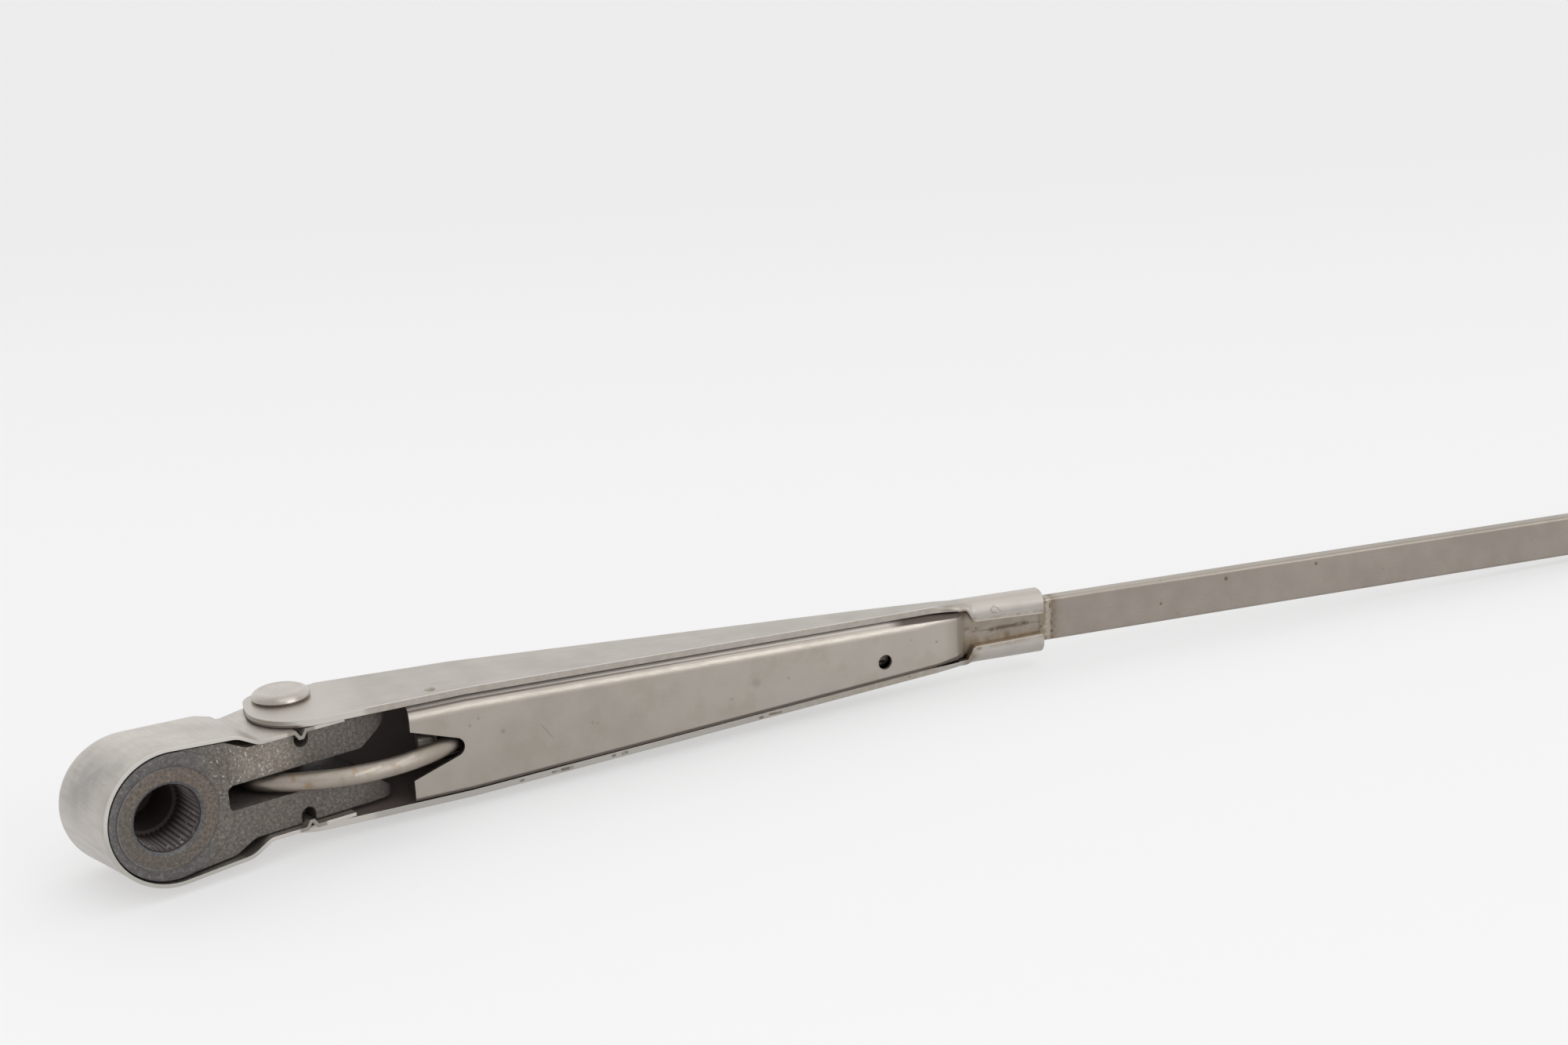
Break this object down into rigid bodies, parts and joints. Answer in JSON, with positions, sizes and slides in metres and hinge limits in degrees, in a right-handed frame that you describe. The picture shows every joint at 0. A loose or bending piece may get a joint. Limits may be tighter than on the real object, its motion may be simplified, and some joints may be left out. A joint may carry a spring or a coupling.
{
  "type": "wiper arm",
  "caption": "Windscreen wiper arm: cast head with a splined spindle bore, sheet cover, spring-loaded folded channel hinged on a rivet, and a flat bar for the blade.",
  "frame": {"origin": "centre of the spindle bore's mouth, on the face of the cast head that meets the drive spindle's shoulder", "axes": "+X along the head towards the arm, +Y from the bore's mouth into the head, +Z along the hinge rivet; the arm lies on its side as pictured"},
  "size_m": [0.3726, 0.1205, 0.026],
  "materials": {
    "cast_head": "grainy die-cast, dull",
    "cover_sheet": "satin",
    "channel_sheet": "satin",
    "inner_sheet": "satin",
    "rivet_metal": "dull nickel",
    "bar_steel": "satin, rust specks",
    "link_wire": "dull zinc plate",
    "pin_steel": "plain",
    "spring_steel": "plain"
  },
  "bodies": {
    "head": {"head_casting": "cast_head", "head_cover": "cover_sheet", "anchor_pin": "pin_steel"},
    "arm": {"arm_channel": "channel_sheet", "spring_cover": "inner_sheet", "arm_bar": "bar_steel", "hinge_rivet": "rivet_metal"},
    "link": {"spring_link": "link_wire", "tension_spring": "spring_steel"}
  },
  "joints": [
    {"name": "arm_lift", "type": "hinge", "parent": "head", "child": "arm", "pos_m": [0.0286, 0.014, 0], "axis": [0, 0, 1], "range_deg": [0, 60], "stiffness_Nm_per_rad": 0.2, "springref_deg": -22.92, "deforming": ["tension_spring"]},
    {"name": "link_swing", "type": "hinge", "parent": "head", "child": "link", "pos_m": [0.0208, 0.0065, 0], "axis": [0, 0, 1], "range_deg": [0, 55.8], "deforming": ["tension_spring"]}
  ],
  "couplings": [
    {"joint": "link_swing", "follows": "arm_lift", "ratio": 0.93}
  ]
}
